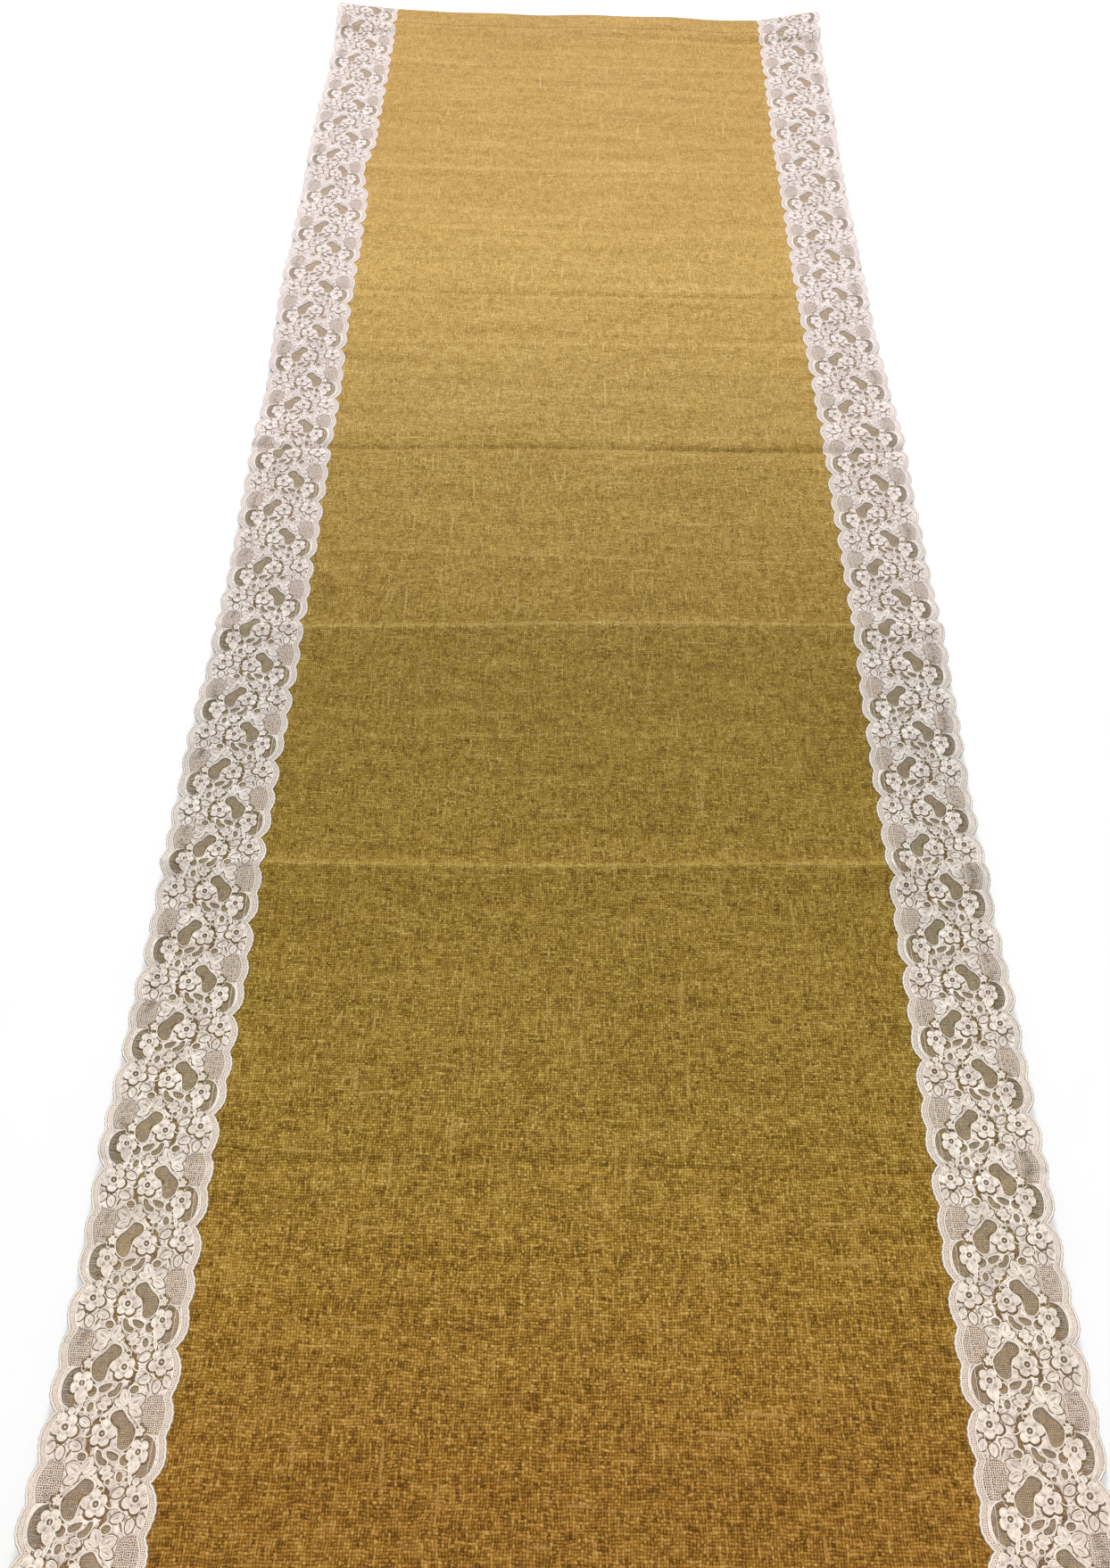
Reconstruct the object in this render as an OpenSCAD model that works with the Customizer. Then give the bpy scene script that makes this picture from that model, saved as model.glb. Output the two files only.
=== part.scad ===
// Table runner: one length of burlap cloth with a double-turned hem at each end,
// trimmed along both long sides with scalloped flower lace.
// Millimetres. The runner lies flat with its length along Y and its face up (+Z).
// The origin is on the underside, at the middle of the runner.

/* [Runner] */
// Overall length, from end fold to end fold
runner_l = 1829; // [900:1:3000]
// Overall width, across the tips of the lace scallops
runner_w = 305; // [200:1:500]

/* [Burlap cloth] */
// Thickness of one layer of cloth
cloth_t = 0.9; // [0.6:0.1:1.5]
// How far the lace reaches past the side edge of the cloth
lace_overhang = 3; // [0.5:0.1:5]
// Depth of the double-turned hem at each end
hem_depth = 20; // [12:1:40]
// Air between the folded layers of the hem
layer_gap = 0.1; // [0.05:0.05:0.4]
// Length over which the cloth comes down from the hem to the table
hem_slope = 8; // [4:1:20]

/* [Lace] */
// Width of one lace trim, across the tips of its scallops
lace_w = 37.5; // [30:0.5:60]
// Thickness of the lace
lace_t = 0.5; // [0.3:0.1:1]
// Pattern repeats in the length of the runner, each with three scallops a side
lace_repeats = 52; // [20:1:90]
// Depth of the notch under the scallop with the open flower
deep_notch = 3; // [1:0.1:4]
// Depth of the notch between the dense scallop and the net scallop
middle_notch = 1.7; // [0.5:0.1:3]
// Depth of the notch above the scallop with the open flower
small_notch = 1.2; // [0.5:0.1:3]
// Where the pattern of the left lace starts, as a share of one repeat
left_phase = 0.85; // [0:0.01:1]
// Where the pattern of the right lace starts, as a share of one repeat
right_phase = 0; // [0:0.01:1]

/* [Stitching] */
// Width of a line of stitches
thread_w = 0.5; // [0.3:0.1:1]
// Height of the thread, on the lace or let into the cloth
thread_t = 0.25; // [0.15:0.05:0.4]
// From the inner scallop tips of the lace to its inner seam
inner_seam_inset = 4.5; // [3:0.5:10]
// From the outer scallop tips of the lace to its outer seam
outer_seam_inset = 8.5; // [4:0.5:12]
// From the inner fold of the hem to its seam
hem_seam_inset = 3; // [2:0.5:8]
// Width of the overlock stitching over the side edge of the cloth
overlock_w = 4; // [2:0.5:6]
// Thickness of the overlock thread
overlock_t = 0.2; // [0.1:0.05:0.25]

/* [Hidden] */

half_l = runner_l / 2;
cloth_w = runner_w - 2 * lace_overhang;
pitch = cloth_t + layer_gap;
bottom_z = cloth_t / 2;
middle_z = bottom_z + pitch;
top_z = bottom_z + 2 * pitch;
hem_top_z = top_z + cloth_t / 2;

fold_y = half_l - hem_depth;
end_fold_y = half_l - pitch - cloth_t / 2;
slope_y = fold_y - cloth_t;
flat_y = slope_y - hem_slope;
end_clearance = 0.2;
fold_step = 22.5;
slope_steps = 8;

repeat_l = runner_l / lace_repeats;
lobe_l = repeat_l / 3;
lobe_steps = 4;
lace_x = (runner_w - lace_w) / 2;
inner_seam_x = runner_w / 2 - lace_w + inner_seam_inset;
outer_seam_x = runner_w / 2 - outer_seam_inset;
hem_seam_y = fold_y + hem_seam_inset;
notches = [small_notch, deep_notch, middle_notch, small_notch];
over = 1;

cloth_colour = [0.68, 0.54, 0.29];
lace_colour = [0.93, 0.87, 0.84];
lace_thread_colour = [0.96, 0.93, 0.88];
hem_thread_colour = [0.62, 0.48, 0.24];
overlock_colour = [0.86, 0.82, 0.74];

// ---- Side view of the cloth: a centre line of [y, z, heading] points ----

function reversed(list) = [for (i = [len(list) - 1:-1:0]) list[i]];

// An arc of the centre line, turning left round a point
function arc_path(y, z, r, from, to) =
    [for (a = [from:fold_step:to]) [y + r * cos(a), z + r * sin(a), a + 90]];

function smooth(t) = t * t * (3 - 2 * t);
function smooth_rate(t) = 6 * t * (1 - t);

// The way down from the hem's top layer to the table
function slope_path() = [
    for (i = [0:slope_steps])
        let (t = i / slope_steps, drop = top_z - bottom_z)
        [slope_y - t * hem_slope, top_z - drop * smooth(t),
         180 + atan(drop * smooth_rate(t) / hem_slope)]
];

// The turned-under layers of one hem, from the raw edge out to the end fold
function hem_path() = concat(
    [[end_fold_y - end_clearance, middle_z, 180]],
    arc_path(fold_y + pitch / 2, bottom_z + pitch / 2, pitch / 2, 90, 270),
    arc_path(end_fold_y, middle_z, pitch, -90, 90)
);

// The same line at the other end, walked outward
function mirrored(path) = [for (p = reversed(path)) [-p[0], p[1], 360 - p[2]]];

function far_path() = concat(hem_path(), slope_path());
function cloth_path() = concat(far_path(), mirrored(far_path()));
function face_path() = concat([[half_l, top_z, 180]], slope_path());
function whole_face_path() = concat(face_path(), mirrored(face_path()));

// The centre line moved sideways: a positive distance is towards the underside
function beside(path, d) = [for (p = path) [p[0] - d * sin(p[2]), p[1] + d * cos(p[2])]];

// A layer between two distances from the centre line, spread across X
module layer(path, low, high, width) {
    rotate([90, 0, 90])
    linear_extrude(width, center = true)
    polygon(concat(beside(path, low), reversed(beside(path, high))));
}

// One layer's worth of cloth, thinned on both faces by an inset
module cloth(inset, width) {
    layer(cloth_path(), cloth_t / 2 - inset, inset - cloth_t / 2, width);
}

// ---- Burlap ----

module thread_groove(length) {
    translate([-thread_w / 2, -length / 2, -over])
    cube([thread_w, length, over + thread_t]);
}

module hem_groove(z) {
    translate([-cloth_w / 2 - over, hem_seam_y - thread_w / 2, z])
    cube([cloth_w + 2 * over, thread_w, thread_t + over]);
}

module burlap_panel() {
    color(cloth_colour)
    difference() {
        union() {
            cloth(0, cloth_w - 2 * overlock_w);
            cloth(overlock_t, cloth_w - 2 * overlock_t);
        }
        for (side = [-1, 1], x = [inner_seam_x, outer_seam_x])
            translate([side * x, 0, 0]) thread_groove(2 * flat_y);
        for (end = [0, 1]) mirror([0, end, 0]) {
            hem_groove(hem_top_z - thread_t);
            hem_groove(-over);
        }
    }
}

// Thread wrapped over the cut side edge of the cloth, folds and all
module edge_overlock(side) {
    color(overlock_colour)
    difference() {
        translate([side * (cloth_w - overlock_w) / 2, 0, 0])
        cloth(0, overlock_w);
        cloth(overlock_t, cloth_w - 2 * overlock_t);
        for (end = [0, 1]) mirror([0, end, 0]) {
            hem_groove(hem_top_z - thread_t);
            hem_groove(-over);
        }
    }
}

// ---- Lace ----

// How far the edge stands back from the scallop tips, t of the way along lobe i
function scallop(i, t) = (t < 0.5 ? notches[i] : notches[i + 1]) * pow(1 - 2 * t, 2);

// One long edge of the trim: distance from its middle, and place along it
function edge_line(start) = [
    for (n = [-1:lace_repeats], i = [0:2], k = [0:lobe_steps - 1])
        [lace_w / 2 - scallop(i, k / lobe_steps),
         start - (n * repeat_l + (i + k / lobe_steps) * lobe_l)]
];

function flipped(list) = [for (p = list) [-p[0], p[1]]];

// Crescent opening beside the flower of the first scallop
module crescent() {
    polygon([
        [13.6, -1.7], [15.6, -4.2], [16.1, -7.2], [15.2, -10.4],
        [13.2, -12], [12.8, -10], [14.3, -7.2], [13.6, -3.8]
    ]);
}

// Large opening between the sprig and the middle flower
module wide_opening() {
    polygon([
        [2.9, 4], [0.9, 2], [2.8, -2], [3, -4.2],
        [4.6, -5.2], [7.8, -2.6], [7.2, -0.6], [4.8, 1]
    ]);
}

// The plan of the trim. Each half repeat is the one before it, mirrored side to side.
module lace_plan(phase) {
    start = half_l + phase * repeat_l;
    difference() {
        polygon(concat(
            edge_line(start),
            reversed(flipped(edge_line(start + repeat_l / 2)))
        ));
        for (n = [-1:2 * lace_repeats])
            translate([0, start - n * repeat_l / 2])
            mirror([abs(n) % 2, 0, 0]) {
                crescent();
                wide_opening();
            }
    }
}

module lace_trim(side, phase) {
    color(lace_colour)
    translate([side * lace_x, 0, 0])
    intersection() {
        layer(whole_face_path(), -cloth_t / 2, -cloth_t / 2 - lace_t, lace_w + 2 * over);
        linear_extrude(hem_top_z + lace_t + over) lace_plan(phase);
    }
}

// ---- Stitching ----

// Needle thread of a lace seam, lying on the lace from end to end
module lace_needle_thread(x) {
    lace_top = -cloth_t / 2 - lace_t;
    color(lace_thread_colour)
    translate([x, 0, 0])
    layer(whole_face_path(), lace_top, lace_top - thread_t, thread_w);
}

// Bobbin thread of a lace seam, let into the underside where the cloth lies flat
module lace_bobbin_thread(x) {
    color(lace_thread_colour)
    translate([x - thread_w / 2, -flat_y, 0])
    cube([thread_w, 2 * flat_y, thread_t]);
}

// A thread of the far hem, let into the cloth with its underside at z
module hem_thread(z) {
    color(hem_thread_colour)
    translate([-cloth_w / 2, hem_seam_y - thread_w / 2, z])
    cube([cloth_w, thread_w, thread_t]);
}

module hem_needle_thread() hem_thread(hem_top_z - thread_t);
module hem_bobbin_thread() hem_thread(0);

burlap_panel();
lace_trim(-1, left_phase);  // left_lace_trim
lace_trim(1, right_phase);  // right_lace_trim
lace_needle_thread(-inner_seam_x);  // left_inner_needle_thread
lace_bobbin_thread(-inner_seam_x);  // left_inner_bobbin_thread
lace_needle_thread(-outer_seam_x);  // left_outer_needle_thread
lace_bobbin_thread(-outer_seam_x);  // left_outer_bobbin_thread
lace_needle_thread(inner_seam_x);  // right_inner_needle_thread
lace_bobbin_thread(inner_seam_x);  // right_inner_bobbin_thread
lace_needle_thread(outer_seam_x);  // right_outer_needle_thread
lace_bobbin_thread(outer_seam_x);  // right_outer_bobbin_thread
hem_needle_thread();  // far_hem_needle_thread
hem_bobbin_thread();  // far_hem_bobbin_thread
mirror([0, 1, 0]) hem_needle_thread();  // near_hem_needle_thread
mirror([0, 1, 0]) hem_bobbin_thread();  // near_hem_bobbin_thread
edge_overlock(-1);  // left_edge_overlock
edge_overlock(1);  // right_edge_overlock
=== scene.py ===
import math

import bpy
import numpy as np
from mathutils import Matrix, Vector
from mathutils.geometry import delaunay_2d_cdt


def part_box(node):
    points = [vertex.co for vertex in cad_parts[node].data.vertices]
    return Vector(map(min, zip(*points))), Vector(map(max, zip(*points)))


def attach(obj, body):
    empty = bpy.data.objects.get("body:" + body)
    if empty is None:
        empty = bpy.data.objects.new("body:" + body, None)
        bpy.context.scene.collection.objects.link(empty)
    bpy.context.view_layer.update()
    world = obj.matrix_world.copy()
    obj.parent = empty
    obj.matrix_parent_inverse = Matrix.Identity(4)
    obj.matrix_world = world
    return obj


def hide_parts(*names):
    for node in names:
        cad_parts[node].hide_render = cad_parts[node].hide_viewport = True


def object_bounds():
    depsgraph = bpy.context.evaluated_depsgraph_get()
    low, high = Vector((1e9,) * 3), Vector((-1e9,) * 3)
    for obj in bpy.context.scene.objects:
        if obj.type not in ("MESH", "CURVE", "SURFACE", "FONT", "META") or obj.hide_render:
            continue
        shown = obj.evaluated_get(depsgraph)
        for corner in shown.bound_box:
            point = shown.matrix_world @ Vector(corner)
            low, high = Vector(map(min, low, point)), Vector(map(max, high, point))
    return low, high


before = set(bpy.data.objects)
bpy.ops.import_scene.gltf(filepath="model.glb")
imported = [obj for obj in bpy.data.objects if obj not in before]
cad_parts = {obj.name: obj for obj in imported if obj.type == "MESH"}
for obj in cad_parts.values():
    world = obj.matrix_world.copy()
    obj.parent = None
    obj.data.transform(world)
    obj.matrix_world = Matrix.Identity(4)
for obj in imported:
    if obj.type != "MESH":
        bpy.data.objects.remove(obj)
cad_low, cad_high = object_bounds()

# Burlap table runner with flower lace along both long sides.
# Shapes are worked out in millimetres on a runner that lies perfectly flat, as the CAD model does.
# make_piece() gives them all the same creases and bends with rumple(), and turns them into metres.

# ---- Sizes, in millimetres ----

MM = 0.001


def middle(node, axis):
    """The middle of a CAD node along one axis."""
    low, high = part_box(node)
    return (low[axis] + high[axis]) / 2 / MM


HALF_L = cad_high.y / MM
CLOTH_HALF_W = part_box("right_edge_overlock")[1].x / MM
HEM_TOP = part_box("burlap_panel")[1].z / MM
LACE_X = middle("right_lace_trim", 0)
LACE_HALF_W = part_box("right_lace_trim")[1].x / MM - LACE_X
INNER_SEAM_X = middle("right_inner_needle_thread", 0)
OUTER_SEAM_X = middle("right_outer_needle_thread", 0)
HEM_SEAM_Y = middle("far_hem_needle_thread", 1)

LAYER_GAP = 0.1
CLOTH_T = (HEM_TOP - 2 * LAYER_GAP) / 3
HEM_SEAM_INSET = 3
HEM_SLOPE = 8
PITCH = CLOTH_T + LAYER_GAP
BOTTOM_Z = CLOTH_T / 2
MIDDLE_Z = BOTTOM_Z + PITCH
TOP_Z = BOTTOM_Z + 2 * PITCH
END_FOLD_Y = HALF_L - PITCH - CLOTH_T / 2
END_FOLD_R = PITCH + CLOTH_T / 2
FOLD_Y = HEM_SEAM_Y - HEM_SEAM_INSET
SLOPE_Y = FOLD_Y - CLOTH_T
FLAT_Y = SLOPE_Y - HEM_SLOPE
LACE_END = END_FOLD_Y + 3.5

WEAVE_PITCH = 0.9
SLUBS = 560
FIBRES = 170

STITCH_L = 3.0
NEEDLE_R = 0.10
THREAD_R = 0.13
PULL_DEPTH = 0.3
OVERLOCK_W = 4.0
OVERLOCK_LOOP = 2.2
OVERLOCK_RISE = 0.12
OVERLOCK_R = 0.11

random = np.random.default_rng(11)


# ---- Meshes ----

def make_piece(name, points, faces, material, slot, flat=None):
    """A piece from points on the flat runner; flat holds their places on the unrolled cloth or trim."""
    mesh = bpy.data.meshes.new(name)
    mesh.from_pydata((rumple(points) * MM).tolist(), [], faces.tolist(), shade_flat=False)
    places = (points if flat is None else flat) * MM
    attribute = mesh.attributes.new("flat", "FLOAT_VECTOR", "POINT")
    attribute.data.foreach_set("vector", places.astype(np.float32).ravel())
    mesh.materials.append(material)
    piece = bpy.data.objects.new(name, mesh)
    bpy.context.scene.collection.objects.link(piece)
    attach(piece, "root")
    return piece


def grid_points(x, y, z):
    """Points of a grid, from parts that together have its rows and columns."""
    return np.stack(np.broadcast_arrays(x, y, z), -1).reshape(-1, 3)


def raised(plan, height):
    """Points of a plan, all at one height."""
    return np.column_stack([plan, np.full(len(plan), height)])


def joined(shapes):
    """Several (points, faces) shapes as one."""
    starts = np.cumsum([0] + [len(points) for points, _ in shapes[:-1]])
    points = np.concatenate([points for points, _ in shapes])
    faces = np.concatenate([faces + start for (_, faces), start in zip(shapes, starts)])
    return points, faces


def grid_faces(rows, columns, closed_rows=False, closed_columns=False):
    """Triangles between the points of a grid that is numbered row by row."""
    i = np.arange(rows if closed_rows else rows - 1)[:, None]
    j = np.arange(columns if closed_columns else columns - 1)[None, :]
    a = i * columns + j
    b = i * columns + (j + 1) % columns
    c = (i + 1) % rows * columns + (j + 1) % columns
    d = (i + 1) % rows * columns + j
    quads = np.stack([a, b, c, d], axis=-1).reshape(-1, 4)
    return np.concatenate([quads[:, [0, 1, 2]], quads[:, [0, 2, 3]]])


def tube(path, radius, sides=5):
    """A round thread along a path of points, closed at both ends."""
    path = np.asarray(path, float)
    forward = np.gradient(path, axis=0)
    forward /= np.linalg.norm(forward, axis=1, keepdims=True) + 1e-9
    upright = np.where(np.abs(forward[:, 2:]) > 0.9, [[1.0, 0, 0]], [[0, 0, 1.0]])
    right = np.cross(forward, upright)
    right /= np.linalg.norm(right, axis=1, keepdims=True)
    up = np.cross(right, forward)
    angle = np.linspace(0, 2 * np.pi, sides, endpoint=False)
    ring = np.cos(angle)[None, :, None] * right[:, None, :] + np.sin(angle)[None, :, None] * up[:, None, :]
    points = (path[:, None, :] + radius * ring).reshape(-1, 3)
    fan = np.array([[0, i, i + 1] for i in range(1, sides - 1)])
    faces = grid_faces(len(path), sides, closed_columns=True)
    faces = np.concatenate([faces, fan[:, ::-1], fan + len(points) - sides])
    return points, faces[:, ::-1]


def smooth(t):
    """0 below 0, 1 above 1 and an S-shaped rise between."""
    t = np.clip(t, 0, 1)
    return t * t * (3 - 2 * t)


# ---- How the whole runner lies ----

# Storage creases: place along the runner, height, how far the left end leans towards the near end,
# and whether the line is a ridge (1) or a valley (-1)
CREASES = [
    (888, 0.8, -6, 1), (855, 0.9, 0, 1), (800, 0.7, 5, -1), (741, 1.2, 2, 1), (683, 0.7, -4, 1),
    (627, 1.2, 0, -1), (588, 0.8, 6, 1), (511, 2.4, 5, -1), (443, 0.8, -5, 1), (403, 2.6, 6, 1),
    (347, 0.8, 7, 1), (288, 3.0, 4, 1), (178, 1.0, 0, -1), (65, 1.2, 2, 1), (-49, 1.2, -2, -1),
    (-162, 1.8, 0, 1), (-276, 1.4, 3, 1), (-389, 1.6, 0, -1), (-503, 1.7, -3, 1), (-616, 1.4, 0, -1),
    (-730, 1.4, 2, 1), (-843, 0.8, 0, -1),
]
# How far a crease's line and its soft hump reach, on the near and on the far side of a ridge
LINE_REACH = (7, 2.4)
HUMP_REACH = (20, 40)
VALLEY_REACH = (1.8, 24)
LINE_ROUNDING = 0.15
# How far the painted highlight along each crease ridge reaches
CREST_HIGHLIGHT_REACH = 1.1
# Soft swells: height, wavelength along the runner, wavelength across it, phase
SWELLS = [(0.5, 190, 900, 0.4), (0.35, 83, 520, 2.1), (0.25, 57, -340, 4.0), (0.3, 131, 260, 1.2)]
BASE_LIFT = 0.25
# How high the far end, its left corner and its right corner are lifted
END_LIFTS = (0.8, 3.4, 5.6)


def crease_y(crease, x):
    """Where a crease runs at x."""
    return crease[0] + crease[2] * x / CLOTH_HALF_W / 2 + 0.7 * np.sin(x / 37 + crease[0])


def painted_crest_highlight(x, y):
    """Painted highlight along the ridges of the creases, from 0 to 1."""
    pale = np.zeros_like(x)
    for crease in CREASES:
        if crease[3] > 0:
            pale += crease[1] / 3 * np.exp(-(((y - crease_y(crease, x)) / CREST_HIGHLIGHT_REACH) ** 2))
    return pale


def wave(x, y):
    """Height of the cloth over the floor, above how it lies in the CAD model."""
    lift = BASE_LIFT + np.zeros_like(x)
    for crease in CREASES:
        d = y - crease_y(crease, x)
        is_ridge = crease[3] > 0
        line_reach = np.where(d < 0, *LINE_REACH) if is_ridge else VALLEY_REACH[0]
        hump_reach = np.where(d < 0, *HUMP_REACH) if is_ridge else VALLEY_REACH[1]
        line = np.exp((math.sqrt(LINE_ROUNDING) - np.sqrt(d * d + LINE_ROUNDING)) / line_reach)
        hump = np.exp(-((d / hump_reach) ** 2))
        lift += crease[1] * (0.6 * line + 0.4 * hump if is_ridge else hump - 0.8 * line)
    for height, along, across, phase in SWELLS:
        lift += height * (1 + np.sin(2 * np.pi * (y / along + x / across) + phase)) / 2
    end = smooth((y - (HALF_L - 45)) / 45)
    left_corner = smooth((-x - 105) / 48)
    right_corner = smooth((x - 112) / 40)
    return lift + end * (END_LIFTS[0] + END_LIFTS[1] * left_corner + END_LIFTS[2] * right_corner)


# Sideways bend of the runner: place along it, and how far its middle lies to the right
BEND = [(-915, -2), (-500, 1.5), (-100, 0.5), (250, 3), (450, 2.5), (620, 0), (800, -2), (915, -1.5)]
END_SKEW = 6


def rumple(points):
    """Where points of the flat runner are once it lies on the floor with its creases and bends."""
    x, y, z = points.T
    bend_y, bend_x = np.array(BEND, float).T
    bend = np.interp(y, bend_y, bend_x)
    edge = np.sign(x) * smooth((np.abs(x) - 90) / 60)
    wander = 0.8 * np.sin(y / 61) + 0.5 * np.sin(y / 23 + x / 40)
    skew = -END_SKEW * x / CLOTH_HALF_W * smooth((y - 300) / 600)
    far_wander = 0.8 * np.sin(x / 22) + 0.6 * np.sin(x / 9 + 1)
    return np.column_stack([
        x + bend + wander * np.abs(edge) + edge * 1.2 * smooth((y - 600) / 250),
        y + skew + far_wander * smooth((y - 850) / 60),
        z + wave(x, y),
    ])


# ---- Burlap ----

def arc(y, z, radius, start, stop, steps):
    """Centre-line points [y, z, heading] of an arc that turns left, in degrees."""
    return [[y + radius * math.cos(a), z + radius * math.sin(a), a + math.pi / 2]
            for a in np.radians(np.linspace(start, stop, steps + 1))]


def straight(y_from, y_to, z, step):
    """Centre-line points of a straight stretch, without its last point."""
    count = max(1, round(abs(y_to - y_from) / step))
    heading = math.pi if y_to < y_from else 0
    return [[y, z, heading] for y in np.linspace(y_from, y_to, count + 1)[:-1]]


def hem_slope():
    """Centre-line points of the slope beside a hem, where its top layer comes down to the floor."""
    drop = TOP_Z - BOTTOM_Z
    points = []
    for t in np.linspace(0, 1, 9):
        steepness = drop * 6 * t * (1 - t) / HEM_SLOPE
        points.append([SLOPE_Y - t * HEM_SLOPE, TOP_Z - drop * smooth(t), math.pi + math.atan(steepness)])
    return points


def hem_path():
    """One hem's centre line, from the raw edge inside it to where the cloth lies flat."""
    return (
        straight(END_FOLD_Y - 0.2, FOLD_Y + PITCH / 2, MIDDLE_Z, 3)
        + arc(FOLD_Y + PITCH / 2, BOTTOM_Z + PITCH / 2, PITCH / 2, 90, 270, 6)
        + straight(FOLD_Y + PITCH / 2, END_FOLD_Y, BOTTOM_Z, 3)[1:]
        + arc(END_FOLD_Y, MIDDLE_Z, PITCH, -90, 90, 8)
        + straight(END_FOLD_Y, SLOPE_Y, TOP_Z, 2.5)[1:]
        + hem_slope()
    )


CLOTH_COLUMNS = 54
ROW_PITCH = 5
# Distances of the extra rows beside each crease
CREASE_ROWS = (0, 0.6, 1.2, 1.8, 2.5, 3.4, 4.6, 6.2, 8.2, 11)


def flat_rows():
    """Rows of the flat stretch, close together at the creases."""
    rows = set(np.round(np.arange(-FLAT_Y, FLAT_Y, ROW_PITCH), 1))
    for crease in CREASES:
        for offset in CREASE_ROWS:
            rows |= {round(crease[0] - offset, 1), round(crease[0] + offset, 1)}
    return sorted((y for y in rows if abs(y) < FLAT_Y - 1), reverse=True)


def cloth_path():
    """The whole centre line, from raw edge to raw edge, as an array of [y, z, heading]."""
    far = hem_path()
    near = [[-y, z, 2 * math.pi - heading] for y, z, heading in reversed(far)]
    return np.array(far + [[y, BOTTOM_Z, math.pi] for y in flat_rows()] + near)


def build_burlap(material):
    """The cloth as one closed strip that is folded twice at each end."""
    path = cloth_path()
    y, z, heading = path.T
    steps = np.hypot(np.diff(y), np.diff(z))
    along = np.concatenate([[0], np.cumsum(steps)])
    along = along[-1] / 2 - along
    columns = np.linspace(-CLOTH_HALF_W, CLOTH_HALF_W, CLOTH_COLUMNS)
    sides = []
    for offset in (-CLOTH_T / 2, CLOTH_T / 2):
        side_y = y - offset * np.sin(heading)
        side_z = z + offset * np.cos(heading)
        sides.append(grid_points(columns, side_y[:, None], side_z[:, None]))
    count = len(path) * len(columns)
    index = np.arange(count).reshape(len(path), len(columns))
    rim = np.concatenate([index[0, :], index[1:-1, -1], index[-1, ::-1], index[-2:0:-1, 0]])
    skirt = np.array([[a, b, a + count, b, b + count, a + count] for a, b in zip(rim, np.roll(rim, -1))])
    sheet = grid_faces(len(path), len(columns))
    faces = np.concatenate([sheet[:, ::-1], sheet + count, skirt.reshape(-1, 3)])
    flat = grid_points(columns, along[:, None], 0)
    points = np.concatenate(sides)
    burlap = make_piece("burlap_cloth", points, faces, material, "burlap", np.tile(flat, (2, 1)))
    # Painted highlight along the crease ridges, read by the cloth's material
    attribute = burlap.data.attributes.new("painted_crest_highlight", "FLOAT", "POINT")
    attribute.data.foreach_set("value", painted_crest_highlight(points[:, 0], points[:, 1]).astype(np.float32))
    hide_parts("burlap_panel")
    return burlap, along[0] * 2


def on_thread(value):
    """The middle of the nearest thread of the weave."""
    return (math.floor(value / WEAVE_PITCH) + 0.5) * WEAVE_PITCH


def slub(x, y, length, width, height, along_y):
    """A thick stretch of one thread that dips under every other crossing thread."""
    count = max(8, round(length / (WEAVE_PITCH / 2)))
    t = np.linspace(0, 1, count + 1)
    swell = np.sin(np.pi * t) ** 0.6
    rise = height * swell * (0.55 + 0.45 * np.cos(2 * np.pi * t * length / (2 * WEAVE_PITCH)))
    across = np.array([-1, -0.5, 0.5, 1]) * width / 2
    up = np.array([0, 0.85, 0.85, 0])
    line = (t - 0.5) * length
    wobble = 0.25 * np.sin(line / 5 + x)
    side = across * (0.45 + 0.55 * swell[:, None]) + wobble[:, None]
    main = line[:, None]
    level = rise[:, None] * up - 0.03
    plan = (x + side, y + main) if along_y else (x + main, y - side)
    return grid_points(*plan, CLOTH_T + level), grid_faces(count + 1, len(up))[:, ::-1]


def build_slubs(material):
    """Slubs of the yarn that stand out of the cloth's face, in both directions."""
    shapes = []
    for i in range(SLUBS):
        along_y = i % 2 == 0
        length = random.uniform(5, 20)
        x = on_thread(random.uniform(-1, 1) * (INNER_SEAM_X - 30))
        y = on_thread(random.uniform(-1, 1) * (FLAT_Y - 25))
        shapes.append(slub(x, y, length, random.uniform(0.8, 1.25), random.uniform(0.12, 0.26), along_y))
    return make_piece("burlap_slubs", *joined(shapes), material, "burlap")


def build_fibres(material):
    """Loose hairs of jute that stand out of the cloth."""
    shapes = []
    for _ in range(FIBRES):
        x = random.uniform(-1, 1) * (INNER_SEAM_X - 8)
        y = random.uniform(-1, 1) * (FLAT_Y - 10)
        length = random.uniform(4, 15)
        turn = random.uniform(0, 2 * math.pi)
        curl = random.uniform(-1.5, 1.5)
        t = np.linspace(0, 1, 9)
        heading = turn + curl * t[:-1]
        steps = np.column_stack([np.cos(heading), np.sin(heading)]) * length / len(heading)
        plan = [x, y] + np.vstack([[0, 0], np.cumsum(steps, axis=0)])
        rise = random.uniform(0.4, 1.3) * np.sin(np.pi * np.minimum(t * 1.15, 1)) ** 0.7
        path = np.column_stack([plan, CLOTH_T - 0.15 + rise])
        shapes.append(tube(path, random.uniform(0.045, 0.08), 3))
    return make_piece("burlap_fibres", *joined(shapes), material, "burlap")


# ---- The cloth's face, for what is sewn on it ----

def on_face(x, s, height):
    """Points over the cloth's face: s runs along it and round the end folds, height is above it."""
    s = np.asarray(s, float)
    distance = np.abs(s)
    turn = np.clip((distance - END_FOLD_Y) / END_FOLD_R, 0, 3)
    drop = smooth((SLOPE_Y - distance) / HEM_SLOPE) * (TOP_Z - BOTTOM_Z)
    flat_z = TOP_Z + CLOTH_T / 2 - drop + height
    wrapped = turn > 0
    y = np.where(wrapped, END_FOLD_Y + (END_FOLD_R + height) * np.sin(turn), distance)
    z = np.where(wrapped, MIDDLE_Z + (END_FOLD_R + height) * np.cos(turn), flat_z)
    return np.column_stack([np.broadcast_to(x, s.shape), np.sign(s) * y, z])


# ---- Stitching ----

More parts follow.
